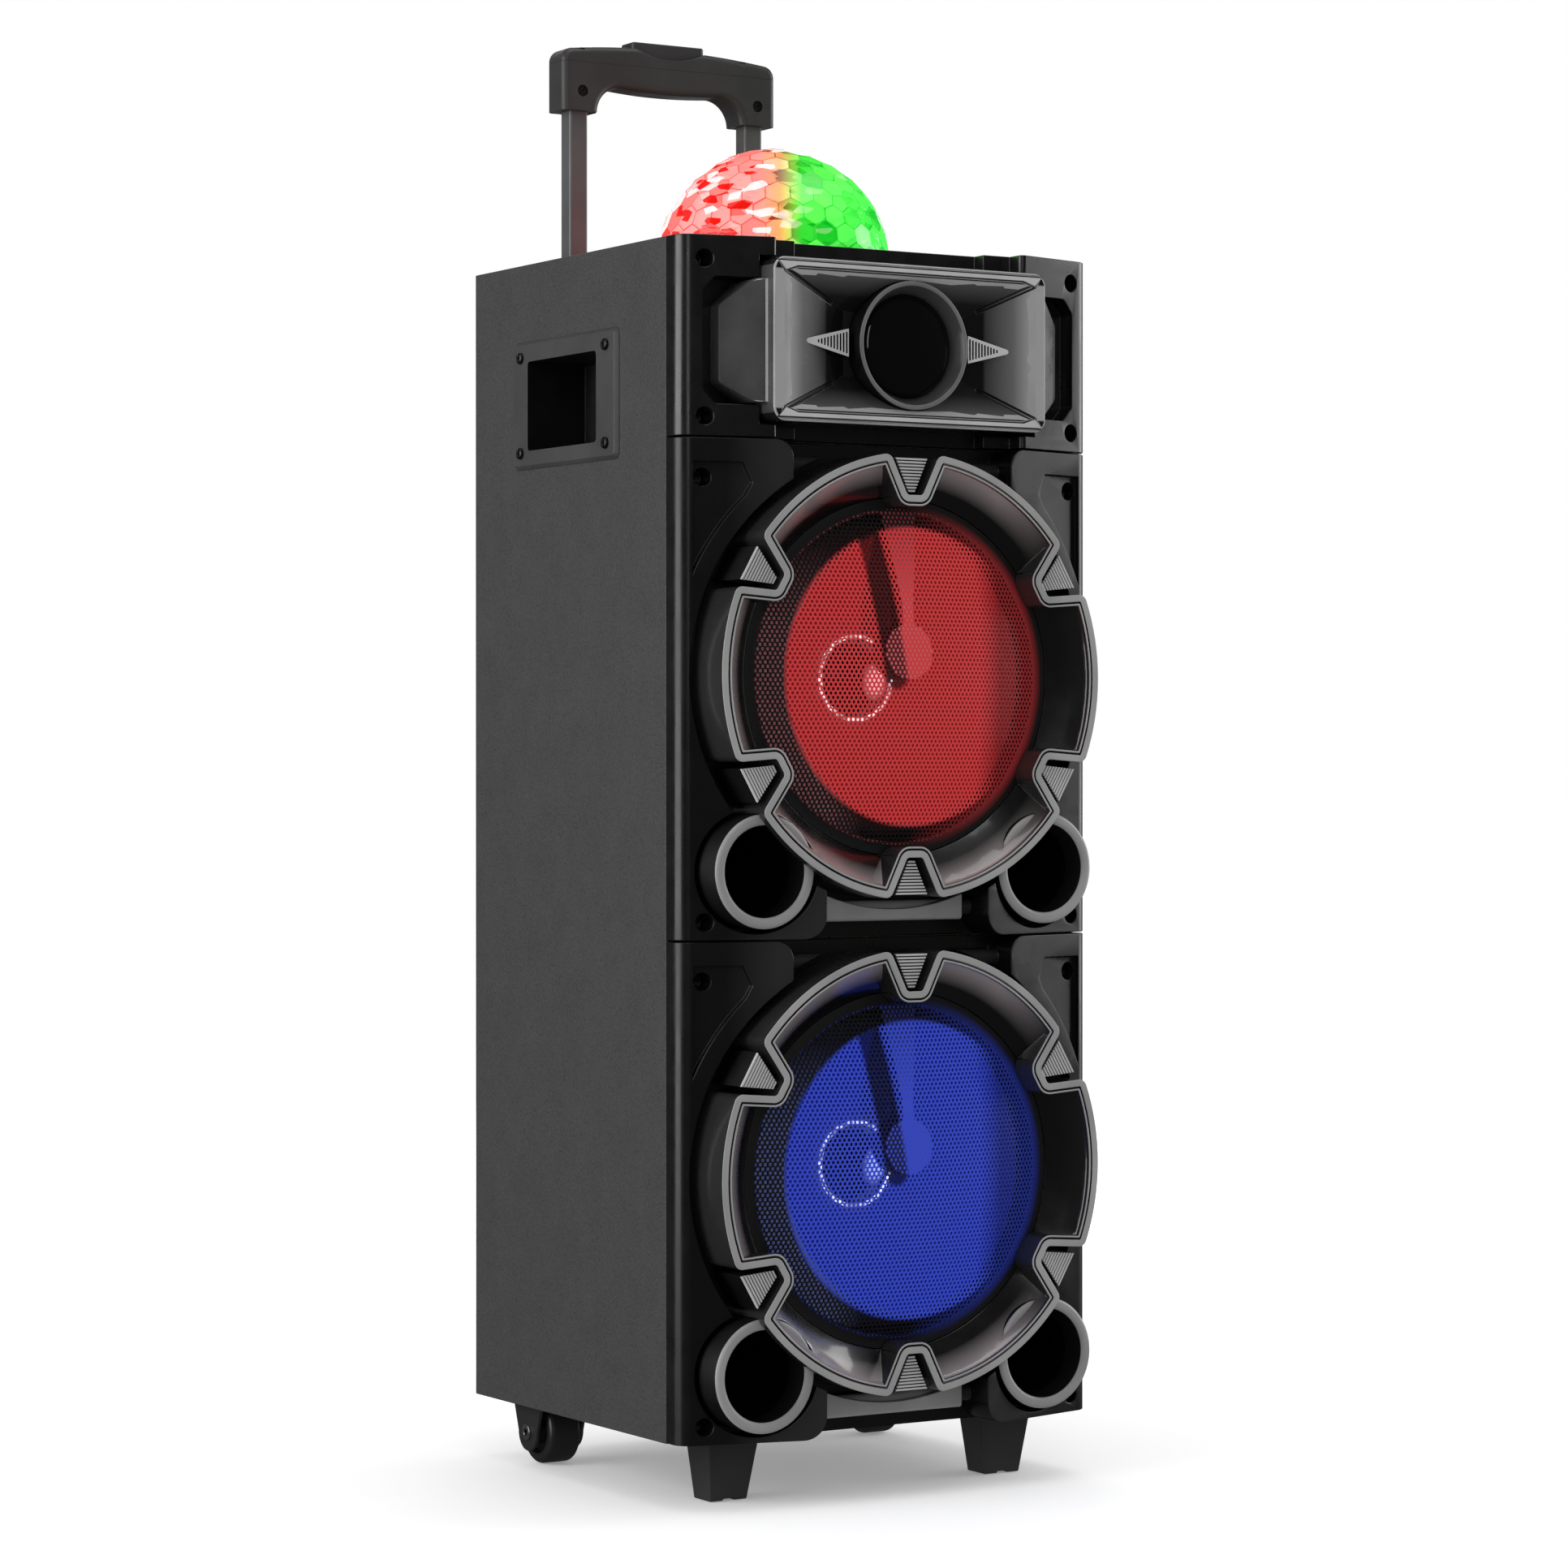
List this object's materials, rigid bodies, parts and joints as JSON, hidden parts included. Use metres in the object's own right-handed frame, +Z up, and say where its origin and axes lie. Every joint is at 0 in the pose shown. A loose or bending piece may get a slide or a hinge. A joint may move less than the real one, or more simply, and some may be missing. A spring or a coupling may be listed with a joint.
{
  "type": "party speaker",
  "caption": "Tall trolley party speaker with two grilled woofers, a horn tweeter, bass ports, a rotating light dome, a telescopic handle, feet and rear wheels.",
  "frame": {"origin": "on the floor, at the middle of the speaker's footprint", "axes": "+X to the right seen from the front, +Y from front to back, +Z up"},
  "size_m": [0.3308, 0.3464, 0.9974],
  "materials": {
    "cabinet_board": "black leather-grain vinyl wrapped over fibreboard",
    "raw_board": "bare fibreboard",
    "deck_plastic": "satin black moulding",
    "horn_plastic": "gloss black moulding",
    "trim_plastic": "satin dark silver",
    "ring_plastic": "satin black",
    "lens_plastic": "high-gloss black",
    "magnet_iron": "bare ferrite and plated steel",
    "basket_steel": "black powder coat",
    "bezel_plastic": "gloss charcoal moulding",
    "grille_steel": "black perforated sheet",
    "lamp_arm_red": "pale grey moulding in red light",
    "lamp_arm_blue": "pale grey moulding in blue light",
    "cone_paper": "black pressed paper with rubber surround",
    "port_plastic": "satin black",
    "cup_plastic": "fine-grained black",
    "black_screws": "black oxide",
    "bright_rivet": "bright nickel",
    "bracket_steel": "black paint",
    "collar_plastic": "satin black",
    "circuit_board": "green solder mask",
    "motor_steel": "plated",
    "clear_dome": "clear faceted plastic",
    "spider_plastic": "translucent white",
    "panel_metal": "black textured paint",
    "socket_plastic": "black",
    "battery_wrap": "grey shrink wrap",
    "knob_plastic": "satin black with pale pointer",
    "button_plastic": "dark grey",
    "trolley_metal": "dark anodised",
    "bracket_plastic": "black",
    "grip_plastic": "fine-grained black",
    "release_plastic": "fine-grained black",
    "foot_rubber": "matt black",
    "wheel_plastic": "matt black moulded"
  },
  "bodies": {
    "cabinet": {"side_panel_left": "cabinet_board", "side_panel_right": "cabinet_board", "top_panel": "cabinet_board", "bottom_panel": "cabinet_board", "back_panel": "cabinet_board", "front_board": "raw_board", "tweeter_deck": "deck_plastic", "woofer_deck_lower": "deck_plastic", "woofer_deck_upper": "deck_plastic", "horn_frame": "horn_plastic", "horn_trim": "trim_plastic", "bezel_wedges_lower": "trim_plastic", "bezel_wedges_upper": "trim_plastic", "tweeter_ring": "ring_plastic", "tweeter_lens": "lens_plastic", "tweeter_driver": "magnet_iron", "woofer_magnet_lower": "magnet_iron", "woofer_magnet_upper": "magnet_iron", "woofer_basket_lower": "basket_steel", "woofer_basket_upper": "basket_steel", "bezel_lower": "bezel_plastic", "bezel_upper": "bezel_plastic", "grille_lower": "grille_steel", "grille_upper": "grille_steel", "lamp_arm_upper": "lamp_arm_red", "lamp_arm_lower": "lamp_arm_blue", "port_tubes_lower": "port_plastic", "port_tubes_upper": "port_plastic", "handle_cup_left": "cup_plastic", "handle_cup_right": "cup_plastic", "case_screws": "black_screws", "wheel_axles": "bright_rivet", "wheel_brackets": "bracket_steel", "dome_collar": "collar_plastic", "lamp_board": "circuit_board", "amp_board": "circuit_board", "dome_motor": "motor_steel", "amp_panel": "panel_metal", "panel_sockets": "socket_plastic", "mains_inlet": "socket_plastic", "battery_pack": "battery_wrap", "trolley_sleeves": "trolley_metal", "trolley_brackets": "bracket_plastic", "front_feet": "foot_rubber"},
    "dome": {"light_dome": "clear_dome", "dome_spider": "spider_plastic"},
    "cone_lower": {"woofer_cone_lower": "cone_paper"},
    "cone_upper": {"woofer_cone_upper": "cone_paper"},
    "wheel_left": {"rear_wheel_left": "wheel_plastic"},
    "wheel_right": {"rear_wheel_right": "wheel_plastic"},
    "trolley": {"trolley_tubes": "trolley_metal", "trolley_grip": "grip_plastic", "grip_cover": "grip_plastic", "grip_screws": "black_screws"},
    "release_button": {"grip_button": "release_plastic"},
    "volume": {"volume_knob": "knob_plastic"},
    "microphone_volume": {"microphone_knob": "knob_plastic"},
    "play": {"play_button": "button_plastic"},
    "mode": {"mode_button": "button_plastic"},
    "power": {"power_rocker": "button_plastic"}
  },
  "joints": [
    {"name": "dome_spin", "type": "hinge", "parent": "cabinet", "child": "dome", "pos_m": [0, 0.0072, 0.822], "axis": [0, 0, 1], "continuous": true},
    {"name": "cone_lower_stroke", "type": "slide", "parent": "cabinet", "child": "cone_lower", "axis": [0, -1, 0], "range_m": [-0.003, 0.005], "stiffness_N_per_m": 2500},
    {"name": "cone_upper_stroke", "type": "slide", "parent": "cabinet", "child": "cone_upper", "axis": [0, -1, 0], "range_m": [-0.003, 0.005], "stiffness_N_per_m": 2500},
    {"name": "wheel_left_spin", "type": "hinge", "parent": "cabinet", "child": "wheel_left", "pos_m": [-0.131, 0.0852, 0.022], "axis": [1, 0, 0], "continuous": true},
    {"name": "wheel_right_spin", "type": "hinge", "parent": "cabinet", "child": "wheel_right", "pos_m": [0.131, 0.0852, 0.022], "axis": [1, 0, 0], "continuous": true},
    {"name": "handle_slide", "type": "slide", "parent": "cabinet", "child": "trolley", "axis": [0, 0, 1], "range_m": [-0.121, 0]},
    {"name": "release_press", "type": "slide", "parent": "trolley", "child": "release_button", "axis": [0, 0, -1], "range_m": [0, 0.004], "stiffness_N_per_m": 500},
    {"name": "volume_turn", "type": "hinge", "parent": "cabinet", "child": "volume", "pos_m": [-0.024, 0.1492, 0.732], "axis": [0, 1, 0], "range_deg": [-150, 150]},
    {"name": "microphone_volume_turn", "type": "hinge", "parent": "cabinet", "child": "microphone_volume", "pos_m": [0.024, 0.1492, 0.732], "axis": [0, 1, 0], "range_deg": [-150, 150]},
    {"name": "play_press", "type": "slide", "parent": "cabinet", "child": "play", "axis": [0, -1, 0], "range_m": [0, 0.0015], "stiffness_N_per_m": 600},
    {"name": "mode_press", "type": "slide", "parent": "cabinet", "child": "mode", "axis": [0, -1, 0], "range_m": [0, 0.0015], "stiffness_N_per_m": 600},
    {"name": "power_tilt", "type": "hinge", "parent": "cabinet", "child": "power", "pos_m": [0.026, 0.1392, 0.522], "axis": [1, 0, 0], "range_deg": [0, 14]}
  ]
}
